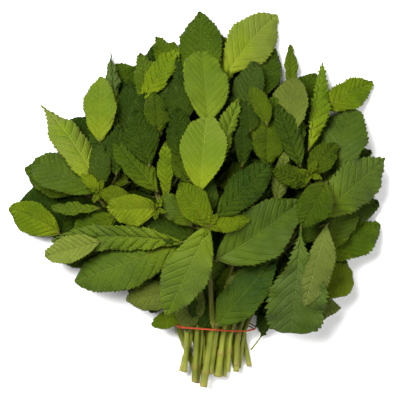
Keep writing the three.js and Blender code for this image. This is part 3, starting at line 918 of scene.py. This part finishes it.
def placed_leaf(pile, foot_plan, share, heading, length, width, kind, roll=0.0, arch=5.0,
                fine=True, roof=None, own=PLAIN_LOOK):
    """A leaf laid on the dome at a share of its height, and let down where it would come
    through the roof, the leaves over it. Gives back its middle line."""
    foot = np.array(foot_plan, float)
    tip = foot + ahead_of(heading) * length
    foot = np.r_[foot, head_height(foot) * share]
    tip = np.r_[tip, max(1.5 * MM, head_height(tip) * share)]
    line = bent_line(foot, tip, arch * MM, rng.uniform(-2, 2) * MM)
    if roof is not None:
        away = np.linalg.norm(line[:, None, :2] - roof[None, :, :2], axis=2)
        over = np.where(away < 0.5 * width + 5 * MM, roof[None, :, 2], np.inf).min(1)
        line[:, 2] -= max(0.0, (line[:, 2] - over + 5 * MM).max())
        line[:, 2] = np.maximum(line[:, 2], 1.6 * MM)
    side = level_side(line, np.radians(roll))
    return add_leaf(pile, line, side, width / 2, rng.uniform(0.0, 0.25), kind, fine, own)


def build_small_leaves(stalks, stems, lines):
    number = 0
    for beside, rows in SMALL_LEAVES.items():
        for step, share, heading, length, width, kind, roll, own in rows:
            number += 1
            pile = Pile()
            plan = lines[beside][0][:2] + np.array(step) * MM
            line = placed_leaf(pile, plan, share, heading, length * MM, width * MM, kind,
                               roll, own=own)
            pile.piece(f"small_leaf_{number}", FINISH[kind], kind)
            add_stalk(stalks, line[0], line[1] - line[0], stems)


COVERING = 19         # of the points of a leaf's line, those that are broad enough to hide a tip
COVER = 4.5 * MM      # how near such a point a tip has to be
SHORTEST = 12         # an inner leaf in millimetres, and how far it is drawn in at a time
DRAWN_IN = 3
HEAD_FOOT = -52 * MM  # no inner leaf starts nearer to the tie than this

# Rings of inner leaves: place out as a share of the head, leaves, share of dome's height.
LAYERS = [(0.14, 7, 0.74), (0.36, 13, 0.68), (0.56, 18, 0.55), (0.10, 6, 0.45),
          (0.30, 14, 0.40), (0.50, 18, 0.28), (0.64, 22, 0.15), (0.05, 6, 0.2),
          (0.16, 10, 0.16), (0.28, 14, 0.14), (0.42, 18, 0.12), (0.55, 22, 0.10),
          (0.06, 6, 0.06), (0.16, 10, 0.06), (0.27, 14, 0.06), (0.38, 18, 0.06),
          (0.48, 22, 0.06)]


def build_inner_leaves(stalks, stems, lines):
    """Leaves inside the head, on rings about its middle and at several depths, each
    pointing outward with some scatter. One whose tip would come out from under the
    leaves of the frame is drawn in until it does not."""
    roof = np.vstack(list(lines.values()))
    cover = np.vstack([line[:COVERING, :2] for line in lines.values()])
    # Painted shade: inner leaves are mostly of the dark kind, for the shade they lie in.
    kinds = ["leaf_mature", "leaf_dark", "leaf_mature", "leaf_dark", "leaf_dark"]
    piles = {}
    for ring, (reach, count, share) in enumerate(LAYERS):
        for k in range(count):
            angle = 2 * np.pi * (k + 0.5 * (ring % 2)) / count + rng.uniform(-0.15, 0.15)
            plan = HEAD_MIDDLE + HEAD_RADIUS * reach * np.array([np.sin(angle), np.cos(angle)])
            if plan[1] < HEAD_FOOT:
                continue
            heading = np.degrees(angle) + rng.uniform(-30, 30)
            length, width = rng.uniform(30, 42), rng.uniform(18, 25)
            ahead = ahead_of(heading)
            while length > SHORTEST:
                tip = plan + ahead * length * MM
                if np.linalg.norm(cover - tip, axis=1).min() < COVER:
                    break
                length -= DRAWN_IN
            if length <= SHORTEST:
                continue
            width = min(width, 0.62 * length)
            kind = kinds[int(rng.integers(len(kinds)))]
            pile = piles.setdefault((kind, ring + 1), Pile())
            # Painted shade: an inner leaf gets a tone below the plain look, darker for lying under
            # the leaves over it.
            line = placed_leaf(pile, plan, share * rng.uniform(0.9, 1.1), heading,
                               length * MM, width * MM, kind, rng.uniform(-25, 25),
                               rng.uniform(2, 7), fine=False, roof=roof,
                               own=look(tone=rng.uniform(-0.3, 0.15), dust=0.0))
            add_stalk(stalks, line[0], line[1] - line[0], stems, 0.6 * MM)
    for (kind, ring), pile in piles.items():
        pile.piece(f"inner_leaves_{kind[5:]}_{ring}", FINISH[kind], kind)


# Shoot tips: the frame leaf whose foot each one sits at, its leaves, its size.
SHOOT_TIPS = [("leaf_front_1", 4, 0.6), ("leaf_right_1", 6, 0.65),
              ("leaf_left_2", 4, 0.5), ("leaf_centre_1", 4, 0.45)]


def build_shoot_tips(lines):
    """Young leaves round each shoot tip, each pair across the last and smaller."""
    for number, (node, count, size) in enumerate(SHOOT_TIPS, 1):
        pile = Pile()
        middle = lines[node][0] + UP * 1.5 * MM
        for k in range(count):
            pair, other = divmod(k, 2)
            ahead = np.r_[ahead_of(25 + 90 * pair + 180 * other + rng.uniform(-12, 12)), 0.0]
            length = (13 - 2.6 * pair) * size * MM
            foot = middle + ahead * 0.8 * MM + UP * 0.7 * MM * pair
            tip = foot + ahead * length + UP * (1.0 + 1.6 * pair) * MM
            line = bent_line(foot, tip, (2.0 + pair) * MM, 0.0)
            add_leaf(pile, line, level_side(line, 0.0), 0.27 * length, 0.5, "leaf_young", True)
        pile.piece(f"shoot_tip_{number}", FINISH["leaf_young"], "leaf_young")


def build_stray_sprout():
    """A thin shoot beside the cut ends with one small leaf."""
    low, high = (np.array(corner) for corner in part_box("rubber_band"))
    foot = np.array([high[0] - 2 * MM, low[1] - 10 * MM, 4 * MM])
    joint = foot + np.array([6, 8, 1.0]) * MM
    stalk = Pile()
    line = through(np.array([foot, (foot + joint) / 2 + UP * 1 * MM, joint]), np.linspace(0, 1, 9))
    add_stem(stalk, line, 1.2 * MM, 0.8 * MM)
    stalk.piece("stray_stalk", FINISH["stem"], "stem")
    pile = Pile()
    tip = joint + np.array([6, 12, 0.5]) * MM
    blade = bent_line(joint, tip, 1.5 * MM, 0.0)
    add_leaf(pile, blade, level_side(blade, 0.6), 2.4 * MM, 0.2, "leaf_mature")
    pile.piece("stray_leaf", FINISH["leaf_mature"], "leaf_mature")


STALKS_FROM = -60 * MM     # stalks join the stems only beyond this, clear of the tie

stem_lines = build_stems() + build_thin_stems()
stem_points = np.vstack(stem_lines)
head_points = stem_points[stem_points[:, 1] > STALKS_FROM]
build_band(stem_lines)
stalk_pile, leaf_lines = build_frame_leaves(head_points)
build_small_leaves(stalk_pile, head_points, leaf_lines)
build_inner_leaves(stalk_pile, head_points, leaf_lines)
build_shoot_tips(leaf_lines)
build_stray_sprout()
stalk_pile.piece("leaf_stalks", FINISH["stalk"], "stem")


# ---------------------------------------------------------------- table, light, camera
def build_floor():
    """A wide flat table top, matt and nearly white."""
    mesh = bpy.data.meshes.new("table_top")
    half = 3.0    # metres from its middle to its edge
    corners = [(-half, -half, 0), (half, -half, 0), (half, half, 0), (-half, half, 0)]
    mesh.from_pydata(corners, [], [(0, 1, 2, 3)])
    made, _, socket = finish("white_table")
    socket["Base Color"].default_value = (0.92, 0.92, 0.92, 1)
    socket["Roughness"].default_value = 0.9
    mesh.materials.append(made)
    put_in("table_top", mesh)


def lamp(name, place, size, power):
    """A square soft light that looks at the middle of the bunch."""
    data = bpy.data.lights.new(name, "AREA")
    data.size = size
    data.energy = power
    obj = put_in(name, data)
    obj.location = place
    obj.rotation_euler = obj.location.to_track_quat("Z", "Y").to_euler()


def build_light():
    """A weak even light all round, a key lamp at the upper left and a weaker wide lamp at
    the lower right."""
    world = bpy.data.worlds.new("studio")
    bpy.context.scene.world = world
    world.use_nodes = True
    back = world.node_tree.nodes["Background"]
    back.inputs[0].default_value = (1, 1, 1, 1)
    back.inputs[1].default_value = 0.11
    lamp("key_light", (-0.45, 0.45, 1.1), 0.7, 42.0)
    lamp("fill_light", (0.7, -0.4, 1.0), 1.2, 13.0)


def build_camera():
    """Straight above the bunch and a little right of its middle, with a long lens; up in
    the view is +Y."""
    data = bpy.data.cameras.new("camera")
    height, view_width, view_height, sensor = 1.3, 0.2405, 0.02, 36.0
    data.sensor_width = sensor
    data.lens = sensor * (height - view_height) / view_width
    obj = put_in("camera", data)
    obj.location = (2.3 * MM, -0.8 * MM, height)
    bpy.context.scene.camera = obj
    bpy.context.scene.view_settings.view_transform = "Standard"


build_floor()
build_light()
build_camera()
